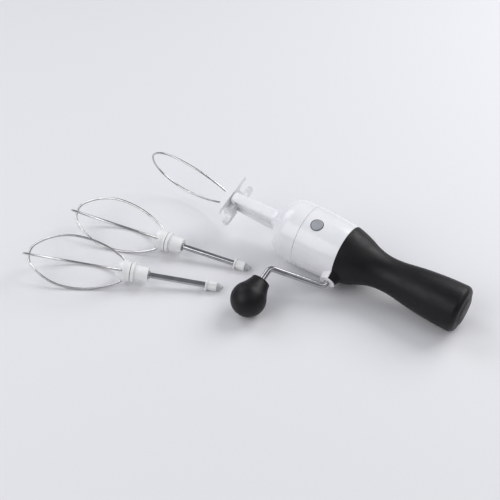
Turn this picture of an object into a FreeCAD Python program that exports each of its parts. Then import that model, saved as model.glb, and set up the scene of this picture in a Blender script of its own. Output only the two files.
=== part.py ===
import FreeCAD, Part
import math
import os
import re
import Sketcher

# Hand-cranked egg beater, in millimetres: a tool with a crank, and two beaters that lie beside it.
# Tool frame: X runs from the wire loop to the handle's end, Y points away from the crank, Z points to
# the release button, and the origin is on the axis at the line where the two housing covers meet.
# Beater frame: X runs along the shaft to the drive tip, and the origin is at the running gap behind the hub.
# Crank frame: the origin is on the crank axis, X points along the arm, and Y is the tool's Y.

doc = FreeCAD.newDocument("egg_beater")
os.makedirs("parts", exist_ok=True)

dimensions = {
    # where the tool and the beaters lie
    "tool_x": 26.46, "tool_y": 63.51, "tool_z": 27.95, "tool_roll": 20.4, "tool_pitch": 3.2,
    "first_x": -81.34, "first_y": -44.69, "first_turn": 26.6,
    "second_x": -81.34, "second_y": 3.31, "second_turn": 14.7,
    "beater_height": 11.85, "beater_tilt": 6, "beater_roll": 45,
    # housing and neck
    "bell_radius": 27.5, "dome_front": 27.3, "dome_arc": 17, "cover_wall": 2.4, "part_gap": 0.3,
    "seam_x": 37.8, "seam_radius": 25.2, "housing_arc": 312, "crank_x": 36.8,
    "boss_base": 10.5, "boss_end": 6.7, "boss_reach": 29.5, "bush_radius": 4.5, "far_reach": 21,
    "gear_room": 18, "post_offset": 10, "post_drop": 18, "post_radius": 3.4,
    "screw_radius": 1.25, "screw_head": 2.6, "screw_clearance": 1.6, "screw_recess": 1,
    "neck_front": 77, "neck_tip_half": 4.9, "neck_tip_high": 9.2, "neck_root_half": 6.3,
    "neck_root_high": 11.4, "neck_web": 2.4, "channel_high": 7.4, "shaft_offset": 16.5,
    "guide_radius": 6.25, "guide_outer": 9.2,
    # nose cradle and the fixed wire loop
    "cradle_front": 85, "cradle_back": 73.5, "cradle_high": 10.5, "cradle_reach": 21.5,
    "cradle_curve": 34.6, "relief_width": 18.5, "clip_radius": 6.9, "centre_wire": 0.9, "centre_root": 9.7,
    "centre_wide": 27.4, "centre_wide_x": 137.1, "centre_tip_x": 170.6, "centre_tip_arc": 24,
    # release button and latch
    "button_x": 11.5, "button_radius": 5.05, "button_travel": 3, "stem_radius": 2,
    "catch_front": 20.6, "catch_half": 17.5,
    # gear train
    "crown_teeth": 30, "pinion_teeth": 10, "pinion_start": 20, "pinion_width": 3.9, "pinion_root": 3.9,
    "pinion_tip": 5.65, "journal_radius": 2.4, "crown_outer": 16.8, "crown_inner": 13,
    "spindle_radius": 3, "socket_radius": 6.15, "drive_socket": 7.1,
    # crank and knob
    "rod_radius": 2.55, "arm_radius": 45.2, "arm_angle": 200.9, "arm_start": 35, "arm_end": 48.3, "bend_radius": 5,
    "knob_ball": 14.8, "knob_neck": 8.2, "knob_length": 33.8, "knob_flank": 6.6, "knob_start": 61.9,
    # handle
    "grip_skin": 2.4, "waist_x": 77, "waist_radius": 14.6, "end_radius": 19.8, "end_x": 139,
    "handle_length": 145.3, "cap_radius": 11, "cap_crown": 0.7,
    # beaters
    "wire_radius": 1, "loop_half": 22.1, "loop_wide_x": 51, "loop_tip_x": 92.9, "inner_step": 4,
    "loop_tip_arc": 13, "loop_root": 6.4, "hub_radius": 8.5, "hub_front": 14.3, "sleeve_length": 14.6,
    "shaft_radius": 2.45, "shaft_end": 70, "disc_radius": 5, "disc_x": 64.3, "drive_across": 6.7,
    "tip_x": 78.9, "tip_round": 2,
}
dim = doc.addObject("Spreadsheet::Sheet", "dim")
for row, (alias, value) in enumerate(dimensions.items(), start=1):
    dim.set("A%d" % row, alias)
    dim.set("B%d" % row, str(value))
    dim.setAlias("B%d" % row, alias)
doc.recompute()

sub_parts = []


def bound(text):
    # every alias holds an underscore, and gets the sheet's name in front of it
    return re.sub(r"[a-z]+(?:_[a-z]+)+", lambda alias: "dim." + alias.group(), str(text))


def number(text):
    return float(dim.evalExpression(bound(text)))


def bind(item, name, text):
    item.setExpression(name, bound(text))


def new_body(label):
    body = doc.addObject("PartDesign::Body", label)
    body.Label = label
    sub_parts.append(body)
    return body


def attach(feature, body, role, shift=("0", "0", "0")):
    # shift is counted in the plane's own axes: XY is (x, y, z), YZ is (y, z, x), XZ is (x, z, -y)
    plane = [item for item in body.Origin.OriginFeatures if item.Role == role][0]
    feature.AttachmentSupport = [(plane, "")]
    feature.MapMode = "FlatFace"
    for axis, text in zip("xyz", shift):
        if text != "0":
            bind(feature, "AttachmentOffset.Base." + axis, text)


def new_sketch(body, name, role, shift="0"):
    sketch = body.newObject("Sketcher::SketchObject", name)
    attach(sketch, body, role, ("0", "0", shift))
    return sketch


def constrain(sketch, *values, text=None):
    index = sketch.addConstraint(Sketcher.Constraint(*values))
    if text is not None:
        bind(sketch, "Constraints[%d]" % index, text)


def pin(sketch, piece, end, across, along):
    # ties one end of a piece to the sheet; a zero is a place on an axis
    for kind, text, axis in (("DistanceX", across, -2), ("DistanceY", along, -1)):
        value = number(text)
        if abs(value) < 1e-9:
            constrain(sketch, "PointOnObject", piece, end, axis)
        else:
            constrain(sketch, kind, -1, 1, piece, end, value, text=text)


def arc_between(start, stop, radius):
    # the short arc with its centre on the left of the way from start to stop, or right if negative
    way = stop - start
    middle = (start + stop) * 0.5
    side = FreeCAD.Vector(-way.y, way.x, 0).normalize()
    reach = math.sqrt(max(radius * radius - way.Length ** 2 / 4, 1e-9))
    centre = middle + side * math.copysign(reach, radius)
    top = centre + (middle - centre).normalize() * abs(radius)
    return Part.Arc(start, top, stop)


def end_at(sketch, piece, place):
    return 1 if sketch.getPoint(piece, 1).distanceToPoint(place) < 1e-5 else 2


def outline(sketch, corners):
    # a closed outline: each corner is (across, along), with an arc's radius third where one arrives
    places = [FreeCAD.Vector(number(corner[0]), number(corner[1]), 0) for corner in corners]
    pieces = []
    for index in range(len(corners)):
        following = (index + 1) % len(corners)
        if len(corners[following]) == 3:
            shape = arc_between(places[index], places[following], number(corners[following][2]))
        else:
            shape = Part.LineSegment(places[index], places[following])
        pieces.append(sketch.addGeometry(shape, False))
    for index, piece in enumerate(pieces):
        following = (index + 1) % len(corners)
        begin = end_at(sketch, piece, places[index])
        joined = end_at(sketch, pieces[following], places[following])
        constrain(sketch, "Coincident", piece, 3 - begin, pieces[following], joined)
        if len(corners[following]) == 3:
            size = corners[following][2]
            constrain(sketch, "Radius", piece, abs(number(size)), text="abs(" + size + ")")
        pin(sketch, piece, begin, corners[index][0], corners[index][1])


def circle(sketch, across, along, radius):
    centre = FreeCAD.Vector(number(across), number(along), 0)
    piece = sketch.addGeometry(Part.Circle(centre, FreeCAD.Vector(0, 0, 1), number(radius)), False)
    pin(sketch, piece, 3, across, along)
    constrain(sketch, "Radius", piece, number(radius), text=radius)


def turn(body, name, corners, kind="Revolution", role="XZ_Plane", axis="H_Axis"):
    sketch = new_sketch(body, name + "_outline", role)
    outline(sketch, corners)
    feature = body.newObject("PartDesign::" + kind, name)
    feature.Profile = sketch
    feature.ReferenceAxis = (sketch, [axis])
    feature.Angle = 360
    sketch.Visibility = False
    return feature


def extrude(body, name, kind, role, shift, length, corners=None, circles=(), backward=False):
    sketch = new_sketch(body, name + "_outline", role, shift)
    if corners:
        outline(sketch, corners)
    for across, along, radius in circles:
        circle(sketch, across, along, radius)
    feature = body.newObject("PartDesign::" + kind, name)
    feature.Profile = sketch
    bind(feature, "Length", length)
    feature.Reversed = backward
    return feature


def block(body, name, kind, low, size):
    feature = body.newObject("PartDesign::" + kind + "Box", name)
    for side, text in zip(("Length", "Width", "Height"), size):
        bind(feature, side, text)
    attach(feature, body, "XY_Plane", low)
    return feature


def bar(body, name, kind, role, shift, radius, length):
    feature = body.newObject("PartDesign::" + kind + "Cylinder", name)
    bind(feature, "Radius", radius)
    bind(feature, "Height", length)
    attach(feature, body, role, shift)
    return feature


def hexagon(across_flats):
    corners = []
    for index in range(6):
        angle = math.radians(60 * index)
        factors = (math.cos(angle) / math.sqrt(3), math.sin(angle) / math.sqrt(3))
        corners.append(tuple("%s * %.9f" % (across_flats, round(factor, 9)) for factor in factors))
    return corners


def rectangle(left, right, low, high):
    return [(left, low), (right, low), (right, high), (left, high)]


def rounded_rectangle(half, high, corner):
    inner = half + " - " + corner
    upper = high + " - " + corner
    return [
        (inner, "-(" + high + ")"), (half, "-(" + upper + ")", corner), (half, upper),
        (inner, high, corner), ("-(" + inner + ")", high), ("-(" + half + ")", upper, corner),
        ("-(" + half + ")", "-(" + upper + ")"), ("-(" + inner + ")", "-(" + high + ")", corner),
    ]


def fillet(body, name, feature, radius, wanted):
    # rounds the edges of a feature for which wanted(edge) holds
    doc.recompute()
    names = ["Edge%d" % (index + 1) for index, edge in enumerate(feature.Shape.Edges) if wanted(edge)]
    rounding = body.newObject("PartDesign::Fillet", name)
    rounding.Base = (feature, names)
    bind(rounding, "Radius", radius)
    return rounding


# --- where each group lies ---

def turned_by(axis, angle):
    return FreeCAD.Placement(FreeCAD.Vector(), FreeCAD.Rotation(FreeCAD.Vector(*axis), angle))


def moved_by(across, along, up):
    return FreeCAD.Placement(FreeCAD.Vector(across, along, up), FreeCAD.Rotation())


tool_place = (moved_by(number("tool_x"), number("tool_y"), number("tool_z"))
              * turned_by((0, 1, 0), number("tool_pitch")) * turned_by((1, 0, 0), number("tool_roll")))
gear_place = tool_place * moved_by(number("crank_x"), 0, 0) * turned_by((0, 1, 0), 180)
crank_place = tool_place * moved_by(number("crank_x"), 0, 0) * turned_by((0, 1, 0), number("arm_angle"))
outward_place = tool_place * moved_by(number("crank_x"), 0, 0) * turned_by((0, 0, 1), -90)
knob_place = (crank_place * moved_by(number("arm_radius"), -number("knob_start"), 0)
              * turned_by((0, 0, 1), -90))


def beater_place(group):
    return (moved_by(number(group + "_x"), number(group + "_y"), number("beater_height"))
            * turned_by((0, 0, 1), number(group + "_turn"))
            * turned_by((0, 1, 0), number("beater_tilt")) * turned_by((1, 0, 0), number("beater_roll")))


# --- housing ---

def front_cover():
    body = new_body("front_cover")
    dome_end = "-(dome_front - dome_arc)"
    turn(body, "cover_outside", [
        ("-dome_front", "0"), ("-dome_front", "bell_radius - dome_arc"),
        (dome_end, "bell_radius", "-dome_arc"), ("-part_gap / 2", "bell_radius"), ("-part_gap / 2", "0")])
    tip = new_sketch(body, "neck_tip", "YZ_Plane", "-neck_front")
    outline(tip, rounded_rectangle("neck_tip_half", "neck_tip_high", "3.4"))
    root = new_sketch(body, "neck_root", "YZ_Plane", "-(dome_front - 6)")
    outline(root, rounded_rectangle("neck_root_half", "neck_root_high", "3.4"))
    neck = body.newObject("PartDesign::AdditiveLoft", "neck")
    neck.Profile = tip
    neck.Sections = [root]
    neck.Ruled = True
    front = number("dome_front")

    def neck_meets_dome(edge):
        box = edge.BoundBox
        return box.XMax < -front + 0.8 and box.XMin > -front - 0.8 and box.YLength < 14 and box.ZLength < 24

    fillet(body, "neck_blend", neck, "9", neck_meets_dome)
    turn(body, "cover_inside", [
        ("-(dome_front - cover_wall)", "0"), ("-(dome_front - cover_wall)", "bell_radius - dome_arc"),
        (dome_end, "bell_radius - cover_wall", "-(dome_arc - cover_wall)"),
        ("1", "bell_radius - cover_wall"), ("1", "0")], kind="Groove")
    # one channel in each side of the neck, with an arched end at the dome
    channel = [("-(neck_front - 4)", "-channel_high"), ("-(dome_front + 9)", "-channel_high"),
               ("-(dome_front + 9)", "channel_high", "channel_high"), ("-(neck_front - 4)", "channel_high")]
    extrude(body, "near_channel", "Pocket", "XZ_Plane", "neck_web", "12", channel, backward=True)
    extrude(body, "far_channel", "Pocket", "XZ_Plane", "-neck_web", "12", channel)
    for side, sign in (("near", "-"), ("far", "")):
        centre = sign + "shaft_offset"
        bar(body, side + "_guide", "Additive", "YZ_Plane", (centre, "0", "-17"), "guide_outer", "8")
        bar(body, side + "_guide_bore", "Subtractive", "YZ_Plane", (centre, "0", "-32"), "guide_radius", "25")
        bar(body, side + "_post", "Additive", "YZ_Plane", (sign + "post_offset", "-post_drop", "-22"), "post_radius", "25.7")
        bar(body, side + "_post_hole", "Subtractive", "YZ_Plane", (sign + "post_offset", "-post_drop", "-9"),
            "screw_radius", "14")
    return body


def rear_housing():
    body = new_body("rear_housing")
    turn(body, "housing_outside", [
        ("part_gap / 2", "0"), ("part_gap / 2", "bell_radius"),
        ("seam_x - part_gap / 2", "seam_radius", "-housing_arc"), ("seam_x - part_gap / 2", "0")])
    boss_half(body)
    turn(body, "housing_inside", [
        ("-1", "0"), ("-1", "bell_radius - cover_wall"), ("seam_x - 5", "seam_radius - cover_wall"),
        ("seam_x - 5", "gear_room"), ("seam_x + 1", "gear_room"), ("seam_x + 1", "0")], kind="Groove")
    gear_clearance(body)
    block(body, "boss_split", "Subtractive", ("seam_x - part_gap / 2", "-45", "-20"), ("30", "90", "40"))
    bar(body, "button_hole", "Subtractive", "XY_Plane", ("button_x", "0", "15"), "button_radius + 0.6", "20")
    return body


def gear_clearance(body):
    # room for the crown gear between the two bushes, and a seat for each bush
    block(body, "gear_slot", "Subtractive", ("18", "-12.9", "-17.6"), ("33", "25.8", "35.2"))
    bar(body, "bush_seat", "Subtractive", "XZ_Plane", ("crank_x", "0", "12"), "bush_radius", "30")
    bar(body, "far_seat", "Subtractive", "XZ_Plane", ("crank_x", "0", "-far_reach"), "5", "10")


def boss_half(body):
    # the crank's boss is a cone that the housing and the grip share, cut at the seam
    cone = body.newObject("PartDesign::AdditiveCone", "boss")
    bind(cone, "Radius1", "boss_base")
    bind(cone, "Radius2", "boss_end")
    bind(cone, "Height", "boss_reach - 17")
    attach(cone, body, "XZ_Plane", ("crank_x", "0", "17"))


def nose_cradle():
    body = new_body("nose_cradle")
    ends = "sqrt(cradle_high ^ 2 - (cradle_reach - shaft_offset) ^ 2)"
    extrude(body, "plate", "Pad", "YZ_Plane", "-(cradle_front + 1)", "cradle_front + 1 - cradle_back", [
        ("-shaft_offset", "-cradle_high", "cradle_high"), ("shaft_offset", "-cradle_high"),
        ("cradle_reach", "-" + ends, "cradle_high"), ("cradle_reach", ends),
        ("shaft_offset", "cradle_high", "cradle_high"), ("-shaft_offset", "cradle_high"),
        ("-cradle_reach", ends, "cradle_high"), ("-cradle_reach", "-" + ends)])
    sag = "cradle_front - cradle_curve + sqrt(cradle_curve ^ 2 - (cradle_reach + 3) ^ 2)"
    extrude(body, "front_curve", "Pocket", "XY_Plane", "-20", "40", [
        ("-(" + sag + ")", "cradle_reach + 3"), ("-(" + sag + ")", "-(cradle_reach + 3)", "cradle_curve"),
        ("-100", "-(cradle_reach + 3)"), ("-100", "cradle_reach + 3")], backward=True)
    for side, sign in (("near", "-"), ("far", "")):
        bar(body, side + "_throat", "Subtractive", "YZ_Plane",
            (sign + "shaft_offset", "0", "-95"), "clip_radius", "30")
    block(body, "upper_relief", "Subtractive", ("-78", "-30", "2"), ("6", "60", "15"))
    for side, low in (("near", "-30"), ("far", "30 - relief_width")):
        block(body, side + "_lower_relief", "Subtractive", ("-90", low, "-15"), ("11", "relief_width", "14"))
    extrude(body, "neck_seat", "Pocket", "YZ_Plane", "-neck_front", "20", rectangle(
        "-neck_tip_half - 0.12", "neck_tip_half + 0.12", "-12", "12"), backward=True)
    return body


def wire_half(body, name, tip_x, tip_arc, wide_x, wide, root, end_arc, root_x, wire):
    # a tube bent in the XZ plane from the loop's tip over its widest place to its root
    path = new_sketch(body, name + "_path", "XZ_Plane")
    tip = number(tip_x)
    small = number(tip_arc)
    widest = FreeCAD.Vector(number(wide_x), number(wide), 0)
    large = ((widest.x - tip - small) ** 2 + widest.y ** 2 - small ** 2) / (2 * (widest.y - small))
    centre = FreeCAD.Vector(tip + small, 0, 0)
    side = FreeCAD.Vector(widest.x, widest.y - large, 0)
    joint = centre + (centre - side).normalize() * small
    start = FreeCAD.Vector(tip, 0, 0)
    pieces = [arc_between(start, joint, -small), arc_between(joint, widest, -large)]
    if end_arc:
        curl = number(end_arc)
        far = number(root_x)
        hub = FreeCAD.Vector(far - curl, 0, 0)
        back = ((hub.x - widest.x) ** 2 + widest.y ** 2 - curl ** 2) / (2 * (widest.y - curl))
        low = FreeCAD.Vector(widest.x, widest.y - back, 0)
        bend = hub + (hub - low).normalize() * curl
        rise = number(root)
        last = FreeCAD.Vector(hub.x + math.sqrt(curl ** 2 - rise ** 2), rise, 0)
        pieces += [arc_between(widest, bend, -back), arc_between(bend, last, -curl)]
    else:
        last = FreeCAD.Vector(number(root_x), number(root), 0)
        reach = last.x - widest.x
        drop = widest.y - last.y
        pieces.append(arc_between(widest, last, -(reach ** 2 + drop ** 2) / (2 * drop)))
    for piece in pieces:
        index = path.addGeometry(piece, False)
        constrain(path, "Block", index)
    section = new_sketch(body, name + "_section", "XY_Plane")
    circle(section, tip_x, "0", wire)
    tube = body.newObject("PartDesign::AdditivePipe", name)
    tube.Profile = section
    tube.Spine = path
    tube.Mode = "Frenet"
    mirror = body.newObject("PartDesign::Mirrored", name + "_other")
    mirror.Originals = [tube]
    mirror.MirrorPlane = ([item for item in body.Origin.OriginFeatures if item.Role == "XY_Plane"][0], [""])
    body.Tip = mirror


def centre_loop():
    body = new_body("centre_loop")
    wire_half(body, "centre_wire_half", "-centre_tip_x", "centre_tip_arc", "-centre_wide_x", "centre_wide",
              "centre_root - 3", None, "-(cradle_front - 4)", "centre_wire")
    return body


# --- release button ---

def release_button():
    body = new_body("release_button")
    cap = bar(body, "cap", "Additive", "XY_Plane", ("button_x", "0", "bell_radius - 2.4"), "button_radius", "2.6")

    def top_edge(edge):
        return edge.BoundBox.ZMin > number("bell_radius") and edge.BoundBox.ZLength < 0.01

    fillet(body, "cap_rounding", cap, "0.8", top_edge)
    bar(body, "skirt", "Additive", "XY_Plane", ("button_x", "0", "bell_radius - 6.5"), "button_radius + 1.2", "1")
    bar(body, "collar", "Additive", "XY_Plane", ("button_x", "0", "bell_radius - 6.5"), "button_radius", "4.3")
    bar(body, "stem", "Additive", "XY_Plane", ("button_x", "0", "8"), "stem_radius", "16")
    return body


def button_spring():
    body = new_body("button_spring")
    extrude(body, "spring", "Pad", "XY_Plane", "13.6", "bell_radius - 6.6 - 13.6", circles=[
        ("button_x", "0", "3.5"), ("button_x", "0", "2.6")])
    return body


def latch_plate():
    # a bar under the button carries a plate whose edge catches the beaters' stop discs
    body = new_body("latch_plate")
    block(body, "latch_bar", "Additive", ("-catch_front", "-2.5", "5"), ("button_x + 3.5 + catch_front", "5", "3"))
    block(body, "catch", "Additive", ("-catch_front", "-catch_half", "-5.5"), ("1.2", "2 * catch_half", "10.5"))
    for side, sign in (("near", "-"), ("far", "")):
        bar(body, side + "_gate", "Subtractive", "YZ_Plane",
            (sign + "shaft_offset", "button_travel", "-24"), "disc_radius + 0.4", "5")
    return body


# --- gear train ---

def gear_carrier():
    body = new_body("gear_carrier")
    bar(body, "carrier_plate", "Additive", "YZ_Plane", ("0", "0", "4"), "24.2", "3.6")
    for side, sign in (("near", "-"), ("far", "")):
        bar(body, side + "_bearing", "Additive", "YZ_Plane", (sign + "shaft_offset", "0", "4"), "5", "10")
        bar(body, side + "_journal", "Subtractive", "YZ_Plane",
            (sign + "shaft_offset", "0", "0"), "spindle_radius + 0.05", "20")
        bar(body, side + "_screw_hole", "Subtractive", "YZ_Plane", (sign + "post_offset", "-post_drop", "0"),
            "screw_clearance", "12")
    block(body, "bar_window", "Subtractive", ("0", "-3.5", "1.5"), ("12", "7", "8"))
    block(body, "button_notch", "Subtractive", ("0", "-8", "16"), ("12", "16", "12"))
    block(body, "spring_shelf", "Additive", ("4", "-5.5", "11.6"), ("14", "11", "2"))
    bar(body, "stem_hole", "Subtractive", "XY_Plane", ("button_x", "0", "9"), "stem_radius + 0.1", "6")
    return body


def housing_screws():
    # two alike screws hold the carrier to the front cover's posts
    body = new_body("housing_screws")
    body.AllowCompound = True
    for side, sideways in (("near", "-post_offset"), ("far", "post_offset")):
        bar(body, side + "_shank", "Additive", "YZ_Plane", (sideways, "-post_drop", "-7"), "screw_radius", "14.6")
        bar(body, side + "_head", "Additive", "YZ_Plane", (sideways, "-post_drop", "7.6"), "screw_head", "1.8")
        bar(body, side + "_recess", "Subtractive", "YZ_Plane", (sideways, "-post_drop", "8.6"), "screw_recess", "screw_recess")
    return body


def spindle(side, sign):
    body = new_body("spindle_" + side)
    turn(body, "spindle_body", [
        ("-18.8", "0"), ("-18.8", "socket_radius"), ("-6", "socket_radius"), ("-2.8", "spindle_radius + 1.2"),
        ("3.7", "spindle_radius + 1.2"), ("3.7", "spindle_radius"), ("19.8", "spindle_radius"),
        ("19.8", "journal_radius"), ("24.2", "journal_radius"), ("24.2", "0")])
    extrude(body, "drive_socket_cut", "Pocket", "YZ_Plane", "-18.8", "15", hexagon("drive_socket"),
            backward=True)
    bar(body, "screw_hole", "Subtractive", "YZ_Plane", ("0", "0", "18"), "1", "8")
    body.Placement = tool_place * moved_by(0, sign * number("shaft_offset"), 0)
    return body


def pinion(side, sign):
    body = new_body("pinion_" + side)
    teeth = int(number("pinion_teeth"))
    bar(body, "pinion_core", "Additive", "YZ_Plane", ("0", "0", "pinion_start"), "pinion_root", "pinion_width")
    tooth = extrude(body, "tooth", "Pad", "YZ_Plane", "pinion_start", "pinion_width", [
        ("pinion_root - 0.5", "-0.78"), ("pinion_tip", "-0.36"), ("pinion_tip", "0.36"), ("pinion_root - 0.5", "0.78")])
    ring = body.newObject("PartDesign::PolarPattern", "teeth")
    ring.Originals = [tooth]
    ring.Axis = ([item for item in body.Origin.OriginFeatures if item.Role == "X_Axis"][0], [""])
    ring.Angle = 360
    ring.Occurrences = teeth
    body.Tip = ring
    bar(body, "pinion_bore", "Subtractive", "YZ_Plane", ("0", "0", "18"), "journal_radius", "8")
    # a gap between two teeth faces the crown gear
    facing = 0 if sign > 0 else 180
    half_step = 180.0 / teeth
    body.Placement = (tool_place * moved_by(0, sign * number("shaft_offset"), 0)
                      * turned_by((1, 0, 0), facing + 180 + half_step))
    return body


def pinion_screw(side, sign):
    body = new_body("pinion_screw_" + side)
    bar(body, "pinion_screw_shank", "Additive", "YZ_Plane", ("0", "0", "18.2"), "1", "6.1")
    bar(body, "pinion_screw_head", "Additive", "YZ_Plane", ("0", "0", "24.3"), "3.1", "1.4")
    bar(body, "pinion_screw_recess", "Subtractive", "YZ_Plane", ("0", "0", "25"), "0.9", "1")
    body.Placement = tool_place * moved_by(0, sign * number("shaft_offset"), 0)
    return body


def crown_gear():
    body = new_body("crown_gear")
    turn(body, "spool", [
        ("rod_radius", "-10.2"), ("crown_outer", "-10.2"), ("crown_outer", "-8"), ("5", "-8"), ("5", "8"),
        ("crown_outer", "8"), ("crown_outer", "10.2"), ("rod_radius", "10.2")],
        role="XY_Plane", axis="V_Axis")
    near = block(body, "near_tooth", "Additive", ("crown_inner", "-12.1", "-0.5"),
                 ("crown_outer - crown_inner", "2", "1"))
    far = block(body, "far_tooth", "Additive", ("crown_inner", "10.1", "-0.5"),
                ("crown_outer - crown_inner", "2", "1"))
    ring = body.newObject("PartDesign::PolarPattern", "crown_teeth_ring")
    ring.Originals = [near, far]
    ring.Axis = ([item for item in body.Origin.OriginFeatures if item.Role == "Y_Axis"][0], [""])
    ring.Angle = 360
    ring.Occurrences = int(number("crown_teeth"))
    body.Tip = ring
    return body


# --- crank ---

def crank_rod():
    body = new_body("crank_rod")
    radius = number("bend_radius")
    corners = [FreeCAD.Vector(0, 20.8, 0), FreeCAD.Vector(0, -number("arm_start"), 0),
               FreeCAD.Vector(number("arm_radius"), -number("arm_end"), 0),
               FreeCAD.Vector(number("arm_radius"), -number("knob_start") - 24, 0)]
    path = new_sketch(body, "rod_path", "XY_Plane")
    here = corners[0]
    for before, corner, after in zip(corners, corners[1:], corners[2:]):
        arriving = (corner - before).normalize()
        leaving = (after - corner).normalize()
        half_turn = arriving.getAngle(leaving) / 2
        setback = radius * math.tan(half_turn)
        bend_start = corner - arriving * setback
        bend_stop = corner + leaving * setback
        hand = 1 if arriving.x * leaving.y - arriving.y * leaving.x > 0 else -1
        straight = path.addGeometry(Part.LineSegment(here, bend_start), False)
        bend = path.addGeometry(arc_between(bend_start, bend_stop, hand * radius), False)
        constrain(path, "Block", straight)
        constrain(path, "Block", bend)
        here = bend_stop
    final = path.addGeometry(Part.LineSegment(here, corners[-1]), False)
    constrain(path, "Block", final)
    section = new_sketch(body, "rod_section", "XZ_Plane", "-20.8")
    circle(section, "0", "0", "rod_radius")
    tube = body.newObject("PartDesign::AdditivePipe", "rod")
    tube.Profile = section
    tube.Spine = path
    return body


def ring_part(label, start, stop, inner, outer):
    body = new_body(label)
    turn(body, label + "_turn", [(start, inner), (start, outer), (stop, outer), (stop, inner)])
    return body


def crank_bush():
    body = new_body("crank_bush")
    turn(body, "bush", [
        ("13", "rod_radius + 0.05"), ("13", "bush_radius"), ("boss_reach", "bush_radius"),
        ("boss_reach", "boss_end"), ("boss_reach + 0.8", "boss_end"), ("boss_reach + 0.8", "rod_radius + 0.05")])
    return body


def knob_grip():
    body = new_body("knob_grip")
    turn(body, "pear", [
        ("0", "0"), ("0", "knob_neck - 0.8"), ("0.8", "knob_neck", "-0.8"), ("1.5", "knob_neck"),
        ("knob_length - knob_ball - knob_flank", "sqrt(knob_ball ^ 2 - knob_flank ^ 2)", "45"),
        ("knob_length", "0", "-knob_ball")])
    bar(body, "core_hole", "Subtractive", "YZ_Plane", ("0", "0", "-1"), "3.6", "28")
    return body


def knob_core():
    return ring_part("knob_core", "0.6", "22.2", "rod_radius + 0.05", "3.6")


# --- handle ---

skin_corners = [
    ("seam_x + part_gap / 2", "seam_radius - grip_skin"), ("57", "16.5"), ("waist_x", "waist_radius - grip_skin"),
    ("92", "13.5"), ("end_x", "end_radius - grip_skin"), ("end_x + 2.2", "end_radius - grip_skin - 3")]


def handle_grip():
    body = new_body("handle_grip")
    turn(body, "grip_outside", [
        ("seam_x + part_gap / 2", "0"), ("seam_x + part_gap / 2", "seam_radius"), ("57", "19", "-92.6"),
        ("waist_x", "waist_radius", "47.7"), ("92", "15.9", "87.3"), ("end_x", "end_radius", "-285"),
        ("end_x + 5", "end_radius - 5", "-5"), ("handle_length", "11.2", "-85"), ("handle_length", "0")])
    boss_half(body)
    turn(body, "grip_inside", [
        ("0", "0"), ("0", "seam_radius - grip_skin")] + skin_corners + [
        ("end_x + 2.2", "11.2"), ("160", "11.2"), ("160", "0")], kind="Groove")
    block(body, "grip_boss_split", "Subtractive", ("-20 + seam_x + part_gap / 2", "-45", "-20"), ("20", "90", "40"))
    bar(body, "grip_bush_seat", "Subtractive", "XZ_Plane", ("crank_x", "0", "12"), "bush_radius", "30")
    return body


def handle_core():
    body = new_body("handle_core")
    turn(body, "core_outside", skin_corners + [
        ("end_x + 2.2", "3"), ("70", "3"), ("62", "11"), ("54", "14.5"), ("47", "gear_room"),
        ("seam_x + part_gap / 2", "gear_room")])
    gear_clearance(body)
    return body


def handle_end_cap():
    body = new_body("handle_end_cap")
    turn(body, "cap_disc", [
        ("end_x + 2.3", "0"), ("end_x + 2.3", "cap_radius"), ("handle_length - 0.3", "cap_radius"),
        ("handle_length - 0.3 + cap_crown", "0", "-(cap_crown + cap_radius * cap_radius / cap_crown) / 2")])
    return body


def handle_screw():
    body = new_body("handle_screw")
    turn(body, "long_screw", [
        ("74", "0"), ("74", "2.4"), ("78", "3"), ("end_x + 2.2", "3"), ("end_x + 2.2", "0")])
    return body


# --- beaters ---

def beater_loop(name, tip_x, roll, place):
    body = new_body(name)
    wire_half(body, "wire", tip_x, "loop_tip_arc", "-loop_wide_x", "loop_half", "loop_root",
              "loop_tip_arc", "-4", "wire_radius")
    body.Placement = place * turned_by((1, 0, 0), roll)


def beater(group, number_name):
    place = beater_place(group)
    name = "beater_" + number_name + "_"
    beater_loop(name + "outer_loop", "-loop_tip_x", 0, place)
    beater_loop(name + "inner_loop", "-(loop_tip_x - inner_step)", 90, place)
    hub = new_body(name + "hub")
    turn(hub, "dome", [
        ("-hub_front", "0"),
        ("-2.4", "hub_radius", "-((hub_front - 2.4) ^ 2 + hub_radius ^ 2) / (2 * (hub_front - 2.4))"), ("-0.3", "hub_radius"), ("-0.3", "shaft_radius"),
        ("-6", "shaft_radius"), ("-6", "0")])
    sleeve = new_body(name + "sleeve")
    turn(sleeve, "bearing", [
        ("0.3", "shaft_radius + 0.05"), ("0.3", "hub_radius - 0.1"), ("3", "hub_radius - 0.1"), ("3", "7"),
        ("sleeve_length - 1.3", "6.15"), ("sleeve_length - 1.3", "6.5"), ("sleeve_length", "6.5"),
        ("sleeve_length", "shaft_radius + 0.05")])
    shaft = new_body(name + "shaft")
    bar(shaft, "shaft_rod", "Additive", "YZ_Plane", ("0", "0", "-6"), "shaft_radius", "shaft_end + 6")
    clip = ring_part(name + "retaining_ring", "sleeve_length + 0.3", "sleeve_length + 1.1", "shaft_radius", "3.6")
    disc = ring_part(name + "stop_disc", "disc_x - 0.6", "disc_x + 0.6", "shaft_radius", "disc_radius")
    drive = new_body(name + "drive_hex")
    extrude(drive, "hex_bar", "Pad", "YZ_Plane", "disc_x + 0.6", "8.3", hexagon("drive_across"))
    bar(drive, "drive_bore", "Subtractive", "YZ_Plane", ("0", "0", "disc_x"), "shaft_radius", "shaft_end - disc_x")
    tip = new_body(name + "drive_tip")
    turn(tip, "cone", [
        ("disc_x + 8.9", "0"), ("disc_x + 8.9", "3.3"), ("tip_x - tip_round", "tip_round"),
        ("tip_x", "0", "-tip_round")])
    for body in (hub, sleeve, shaft, clip, disc, drive, tip):
        body.Placement = place


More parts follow.
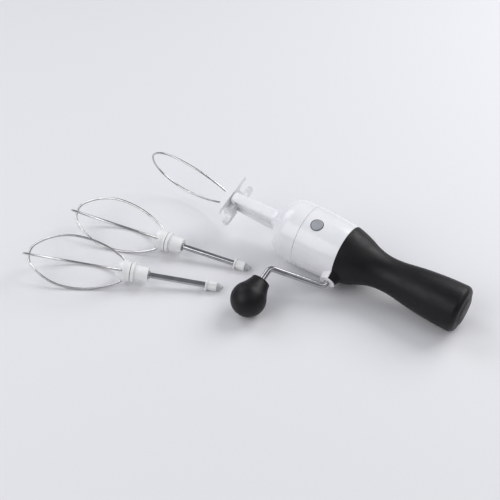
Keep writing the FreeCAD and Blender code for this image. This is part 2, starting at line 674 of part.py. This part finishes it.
for make in (front_cover, rear_housing, nose_cradle, centre_loop, release_button, button_spring,
             latch_plate, gear_carrier, housing_screws, handle_grip, handle_core, handle_end_cap, handle_screw):
    make().Placement = tool_place
for side, sign in (("near", -1), ("far", 1)):
    spindle(side, sign)
    pinion(side, sign)
    pinion_screw(side, sign)
crown_gear().Placement = gear_place
crank_rod().Placement = crank_place
crank_bush().Placement = outward_place
ring_part("far_bush", "-far_reach", "-14.6", "rod_radius + 0.05", "5").Placement = outward_place
ring_part("shaft_clip", "-11.4", "-10.3", "rod_radius", "4.6").Placement = outward_place
knob_grip().Placement = knob_place
knob_core().Placement = knob_place
ring_part("knob_retainer", "22.4", "23.4", "rod_radius", "3").Placement = knob_place
beater("first", "1")
beater("second", "2")

doc.recompute()

for item in doc.Objects:
    if "Invalid" in item.State or "Error" in item.State:
        raise RuntimeError("failed to recompute: " + item.Name)
for body in sub_parts:
    if body.Shape.isNull() or not body.Shape.isValid():
        raise RuntimeError("no valid shape: " + body.Label)
for body in sub_parts:
    body.Shape.exportStep(os.path.join("parts", body.Label + ".step"))
print(len(sub_parts), "sub-parts written")
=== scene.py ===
import math

import bpy
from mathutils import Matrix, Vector

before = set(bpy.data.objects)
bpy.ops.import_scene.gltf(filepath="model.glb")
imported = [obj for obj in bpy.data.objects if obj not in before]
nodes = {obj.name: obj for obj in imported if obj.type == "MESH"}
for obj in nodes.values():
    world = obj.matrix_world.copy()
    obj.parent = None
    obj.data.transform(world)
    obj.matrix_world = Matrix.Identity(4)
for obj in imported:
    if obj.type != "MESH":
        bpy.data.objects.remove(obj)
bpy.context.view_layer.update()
print("frame loaded:", len(nodes), "CAD nodes")


def linear(hexColour):
    # sRGB hex to the linear values that sockets take
    channels = [int(hexColour[i:i + 2], 16) / 255 for i in (1, 3, 5)]
    lit = [c / 12.92 if c <= 0.04045 else ((c + 0.055) / 1.055) ** 2.4 for c in channels]
    return lit + [1]


def addNode(tree, kind, settings=None, inputs=None):
    # one node with its settings; an input is a plain value, or another node's output to link
    node = tree.nodes.new(kind)
    for name, value in (settings or {}).items():
        setattr(node, name, value)
    for name, value in (inputs or {}).items():
        if isinstance(value, bpy.types.NodeSocket):
            tree.links.new(value, node.inputs[name])
        else:
            node.inputs[name].default_value = value
    return node


def perMetre(millimetres):
    # a texture's scale, so that one of its cells is this many millimetres wide
    return 1000 / millimetres


def newMaterial(name):
    material = bpy.data.materials.new(name)
    material.use_nodes = True
    material.node_tree.nodes.clear()
    return material, material.node_tree


# moulded plastics: one dictionary of settings for each; lengths are in millimetres
mouldedPlastics = {
    # glossy injection-moulded ABS from a polished tool: a clean highlight,
    # barely rippled by sink over the ribs
    "mouldedAbsWhite": {"colour": "#EDEDEF", "shade": "#E8E8EB", "gloss": 0.2, "scuffed": 0.34,
                        "grain": 0.5, "grainDepth": 0.004, "sink": 26, "sinkDepth": 0.1, "specular": 0.5,
                        "coat": 0.25},
    # acetal of the beaters' hubs and sleeves: a softer, slightly waxy shine
    "mouldedAcetalWhite": {"colour": "#EDEDEC", "shade": "#E5E5E5", "gloss": 0.3, "scuffed": 0.46,
                           "grain": 0.4, "grainDepth": 0.006, "sink": 12, "sinkDepth": 0.05, "specular": 0.5,
                           "coat": 0.1},
    # natural acetal inside the housing: creamy and matt from the mould
    "mouldedAcetalNatural": {"colour": "#DCD9CF", "shade": "#CFCBBE", "gloss": 0.42, "scuffed": 0.55,
                             "grain": 0.6, "grainDepth": 0.01, "sink": 14, "sinkDepth": 0.05, "specular": 0.5,
                             "coat": 0},
    # fine spark-eroded finish on the grey ABS button: satin, a little worn in its middle
    "erodedAbsGrey": {"colour": "#A3A5AB", "shade": "#96989E", "gloss": 0.38, "scuffed": 0.52,
                      "grain": 0.3, "grainDepth": 0.03, "sink": 9, "sinkDepth": 0.03, "specular": 0.5,
                      "coat": 0},
    # over-moulded thermoplastic elastomer: soft sheen, fine eroded grain and faint finger marks
    "overmouldedElastomerBlack": {"colour": "#0B0B0D", "shade": "#101013", "gloss": 0.42, "scuffed": 0.56,
                                  "grain": 0.45, "grainDepth": 0.04, "sink": 22, "sinkDepth": 0.1,
                                  "specular": 0.27, "coat": 0},
}


# what all the moulded plastics share: how the tint fades, and the marks that hands leave on the gloss
moulding = {"tintLow": 0.35, "tintHigh": 0.65, "markSize": 7, "markLow": 0.42, "markHigh": 0.72,
            "refraction": 1.5, "coatRoughness": 0.08}


def mouldedPlastic(name, made):
    material, tree = newMaterial(name)
    place = addNode(tree, "ShaderNodeTexCoord").outputs["Object"]
    clouds = addNode(tree, "ShaderNodeTexNoise", None, {
        "Vector": place, "Scale": perMetre(made["sink"]), "Detail": 2, "Roughness": 0.5}).outputs["Fac"]
    grain = addNode(tree, "ShaderNodeTexNoise", None, {
        "Vector": place, "Scale": perMetre(made["grain"]), "Detail": 4, "Roughness": 0.6}).outputs["Fac"]
    fingerMarks = addNode(tree, "ShaderNodeTexNoise", None, {
        "Vector": place, "Scale": perMetre(moulding["markSize"]), "Detail": 5, "Roughness": 0.65,
        "Distortion": 0.4}).outputs["Fac"]
    tint = addNode(tree, "ShaderNodeMapRange", None, {
        "Value": clouds, "From Min": moulding["tintLow"], "From Max": moulding["tintHigh"]}).outputs["Result"]
    colour = addNode(tree, "ShaderNodeMix", {"data_type": "RGBA"}, {
        0: tint, 6: linear(made["colour"]), 7: linear(made["shade"])}).outputs[2]
    roughness = addNode(tree, "ShaderNodeMapRange", None, {
        "Value": fingerMarks, "From Min": moulding["markLow"], "From Max": moulding["markHigh"],
        "To Min": made["gloss"], "To Max": made["scuffed"]}).outputs["Result"]
    sink = addNode(tree, "ShaderNodeBump", None, {
        "Height": clouds, "Strength": 1, "Distance": made["sinkDepth"] / 1000}).outputs[0]
    skin = addNode(tree, "ShaderNodeBump", None, {
        "Height": grain, "Strength": 1, "Distance": made["grainDepth"] / 1000, "Normal": sink}).outputs[0]
    shader = addNode(tree, "ShaderNodeBsdfPrincipled", None, {
        "Base Color": colour, "Roughness": roughness, "IOR": moulding["refraction"], "Normal": skin,
        "Specular IOR Level": made["specular"], "Coat Weight": made["coat"],
        "Coat Roughness": moulding["coatRoughness"]})
    addNode(tree, "ShaderNodeOutputMaterial", None, {"Surface": shader.outputs[0]})
    return material


# steels: drawn or turned, then polished; the lines are drawn as coarse as they need to show
polishedSteels = {
    # drawn stainless wire, tumbled bright: long faint draw lines
    "drawnStainlessWire": {"colour": "#C9C9C8", "dull": "#B2B2B3", "gloss": 0.13, "scuffed": 0.24, "line": 0.3,
                           "lineDepth": 0.0012},
    # centreless-ground stainless rod: a cleaner mirror with fine rings
    "groundStainlessRod": {"colour": "#B4B4B6", "dull": "#A0A1A4", "gloss": 0.1, "scuffed": 0.17, "line": 0.2,
                           "lineDepth": 0.0008},
    # zinc-plated fasteners: bluish and duller
    "zincPlatedSteel": {"colour": "#B9BCC2", "dull": "#9FA2A8", "gloss": 0.3, "scuffed": 0.45, "line": 0.4,
                        "lineDepth": 0.004},
}


# what all the steels share: smears in the polish
polishing = {"smearSize": 6, "smearLow": 0.38, "smearHigh": 0.72, "tintLow": 0.4, "tintHigh": 0.7}


def polishedSteel(name, made):
    material, tree = newMaterial(name)
    place = addNode(tree, "ShaderNodeTexCoord").outputs["Object"]
    lines = addNode(tree, "ShaderNodeTexNoise", None, {
        "Vector": place, "Scale": perMetre(made["line"]), "Detail": 4, "Roughness": 0.6}).outputs["Fac"]
    smears = addNode(tree, "ShaderNodeTexNoise", None, {
        "Vector": place, "Scale": perMetre(polishing["smearSize"]), "Detail": 4, "Roughness": 0.6,
        "Distortion": 0.3}).outputs["Fac"]
    tint = addNode(tree, "ShaderNodeMapRange", None, {
        "Value": smears, "From Min": polishing["tintLow"], "From Max": polishing["tintHigh"]}).outputs["Result"]
    colour = addNode(tree, "ShaderNodeMix", {"data_type": "RGBA"}, {
        0: tint, 6: linear(made["colour"]), 7: linear(made["dull"])}).outputs[2]
    roughness = addNode(tree, "ShaderNodeMapRange", None, {
        "Value": smears, "From Min": polishing["smearLow"], "From Max": polishing["smearHigh"],
        "To Min": made["gloss"], "To Max": made["scuffed"]}).outputs["Result"]
    skin = addNode(tree, "ShaderNodeBump", None, {
        "Height": lines, "Strength": 1, "Distance": made["lineDepth"] / 1000}).outputs[0]
    shader = addNode(tree, "ShaderNodeBsdfPrincipled", None, {
        "Base Color": colour, "Metallic": 1, "Roughness": roughness, "Normal": skin})
    addNode(tree, "ShaderNodeOutputMaterial", None, {"Surface": shader.outputs[0]})
    return material


# natural polypropylene of the drive tips: milky, and light passes a little way into it
milkyTip = {"name": "mouldedPolypropyleneMilky", "colour": "#D3D4D6", "shade": "#C2C4C7", "flow": 5,
            "flowDepth": 0.02, "gloss": 0.3, "refraction": 1.49, "through": 0.35, "scattered": 0.4, "reach": 4}


def mouldedTip(made):
    material, tree = newMaterial(made["name"])
    place = addNode(tree, "ShaderNodeTexCoord").outputs["Object"]
    flow = addNode(tree, "ShaderNodeTexNoise", None, {
        "Vector": place, "Scale": perMetre(made["flow"]), "Detail": 3, "Roughness": 0.5}).outputs["Fac"]
    tint = addNode(tree, "ShaderNodeMapRange", None, {
        "Value": flow, "From Min": moulding["tintLow"], "From Max": moulding["tintHigh"]}).outputs["Result"]
    colour = addNode(tree, "ShaderNodeMix", {"data_type": "RGBA"}, {
        0: tint, 6: linear(made["colour"]), 7: linear(made["shade"])}).outputs[2]
    skin = addNode(tree, "ShaderNodeBump", None, {
        "Height": flow, "Strength": 1, "Distance": made["flowDepth"] / 1000}).outputs[0]
    shader = addNode(tree, "ShaderNodeBsdfPrincipled", None, {
        "Base Color": colour, "Roughness": made["gloss"], "IOR": made["refraction"],
        "Transmission Weight": made["through"], "Subsurface Weight": made["scattered"],
        "Subsurface Radius": [made["reach"] / 1000] * 3, "Subsurface Scale": 1, "Normal": skin})
    addNode(tree, "ShaderNodeOutputMaterial", None, {"Surface": shader.outputs[0]})
    return material


finishes = {name: mouldedPlastic(name, made) for name, made in mouldedPlastics.items()}
finishes.update({name: polishedSteel(name, made) for name, made in polishedSteels.items()})
finishes[milkyTip["name"]] = mouldedTip(milkyTip)
print("materials made:", len(finishes))

# words in the nodes' names that each finish covers
coveredNodes = {
    "mouldedAbsWhite": ["front_cover", "rear_housing", "nose_cradle", "crank_bush"],
    "mouldedAcetalWhite": ["hub", "sleeve", "stop_disc", "drive_hex"],
    "mouldedPolypropyleneMilky": ["drive_tip"],
    "erodedAbsGrey": ["release_button"],
    "overmouldedElastomerBlack": ["handle_grip", "handle_end_cap", "knob_grip"],
    "mouldedAcetalNatural": ["gear_carrier", "latch_plate", "handle_core", "knob_core", "spindle", "pinion",
                             "crown_gear", "far_bush"],
    "drawnStainlessWire": ["centre_loop", "outer_loop", "inner_loop"],
    "groundStainlessRod": ["crank_rod", "shaft"],
    "zincPlatedSteel": ["handle_screw", "housing_screws", "pinion_screw", "button_spring", "shaft_clip",
                        "knob_retainer", "retaining_ring"],
}


def finishOf(node):
    # the longest word that the node's name holds wins, so a pinion's screw is steel
    found = [(len(word), finish)
             for finish, words in coveredNodes.items() for word in words if word in node]
    return max(found)[1]


for name, item in nodes.items():
    item.data.materials.clear()
    item.data.materials.append(finishes[finishOf(name)])
print("nodes covered:", len(nodes))

# seamless pale paper under even studio air; the floor's side is in metres, its fibre in millimetres
studio = {"floorSize": 6, "floorColour": "#E2E2E4", "floorDull": "#DEDEE0", "fibre": 0.8,
          "fibreDepth": 0.03, "roughness": 0.6,
          "air": "#CCCFD7", "airStrength": 0.44}
softboxes = {  # where each hangs, its side in metres, its power in watts, and its colour
    "backSoftbox": ((0.4, 1.05, 0.95), 0.9, 12, "#FFFFFF"),
    "leftSoftbox": ((-1.3, 0.2, 1.2), 1, 7.5, "#F7F8FF"),
    "fillSoftbox": ((-0.6, -1.3, 1.1), 1.4, 15, "#FFFFFF"),
    "rightSoftbox": ((1.3, 0.1, 1.5), 1, 4, "#FFFDFA"),
}


def layFloor():
    material, tree = newMaterial("seamlessPaperPale")
    place = addNode(tree, "ShaderNodeTexCoord").outputs["Object"]
    fibre = addNode(tree, "ShaderNodeTexNoise", None, {
        "Vector": place, "Scale": perMetre(studio["fibre"]), "Detail": 5, "Roughness": 0.6}).outputs["Fac"]
    tint = addNode(tree, "ShaderNodeMapRange", None, {
        "Value": fibre, "From Min": 0.3, "From Max": 0.7}).outputs["Result"]
    colour = addNode(tree, "ShaderNodeMix", {"data_type": "RGBA"}, {
        0: tint, 6: linear(studio["floorColour"]), 7: linear(studio["floorDull"])}).outputs[2]
    skin = addNode(tree, "ShaderNodeBump", None, {
        "Height": fibre, "Strength": 0.4, "Distance": studio["fibreDepth"] / 1000}).outputs[0]
    shader = addNode(tree, "ShaderNodeBsdfPrincipled", None, {
        "Base Color": colour, "Roughness": studio["roughness"], "Normal": skin})
    addNode(tree, "ShaderNodeOutputMaterial", None, {"Surface": shader.outputs[0]})
    half = studio["floorSize"] / 2
    mesh = bpy.data.meshes.new("floor")
    corners = [(-half, -half, 0), (half, -half, 0), (half, half, 0), (-half, half, 0)]
    mesh.from_pydata(corners, [], [(0, 1, 2, 3)])
    floor = bpy.data.objects.new("floor", mesh)
    bpy.context.scene.collection.objects.link(floor)
    mesh.materials.append(material)


def hangLight(name, place, side, power, colour):
    light = bpy.data.lights.new(name, "AREA")
    light.shape = "SQUARE"
    light.size = side
    light.energy = power
    light.color = linear(colour)[:3]
    lamp = bpy.data.objects.new(name, light)
    lamp.location = place
    lamp.rotation_euler = (-Vector(place)).to_track_quat("-Z", "Y").to_euler()
    bpy.context.scene.collection.objects.link(lamp)


def lightWorld():
    world = bpy.data.worlds.new("studioAir")
    world.use_nodes = True
    background = world.node_tree.nodes["Background"]
    background.inputs["Color"].default_value = linear(studio["air"])
    background.inputs["Strength"].default_value = studio["airStrength"]
    bpy.context.scene.world = world


layFloor()
lightWorld()
for name, (place, side, power, colour) in softboxes.items():
    hangLight(name, place, side, power, colour)
print("studio lit:", len(softboxes), "softboxes")

# where the camera looks, in metres; its angles in degrees, its lens and sensor in millimetres
view = {"target": (-0.02234, 0.04621, 0), "azimuth": 34.6, "elevation": 41.5, "distance": 0.715,
        "lens": 57.6, "sensor": 36, "near": 0.01}


def placeCamera():
    azimuth, elevation = math.radians(view["azimuth"]), math.radians(view["elevation"])
    back = Vector((math.sin(azimuth) * math.cos(elevation), -math.cos(azimuth) * math.cos(elevation),
                   math.sin(elevation)))
    data = bpy.data.cameras.new("camera")
    data.lens, data.sensor_width, data.clip_start = view["lens"], view["sensor"], view["near"]
    camera = bpy.data.objects.new("camera", data)
    camera.location = Vector(view["target"]) + back * view["distance"]
    camera.rotation_euler = back.to_track_quat("Z", "Y").to_euler()
    bpy.context.scene.collection.objects.link(camera)
    bpy.context.scene.camera = camera


placeCamera()
bpy.context.scene.view_settings.view_transform = "Standard"
print("scene ready")
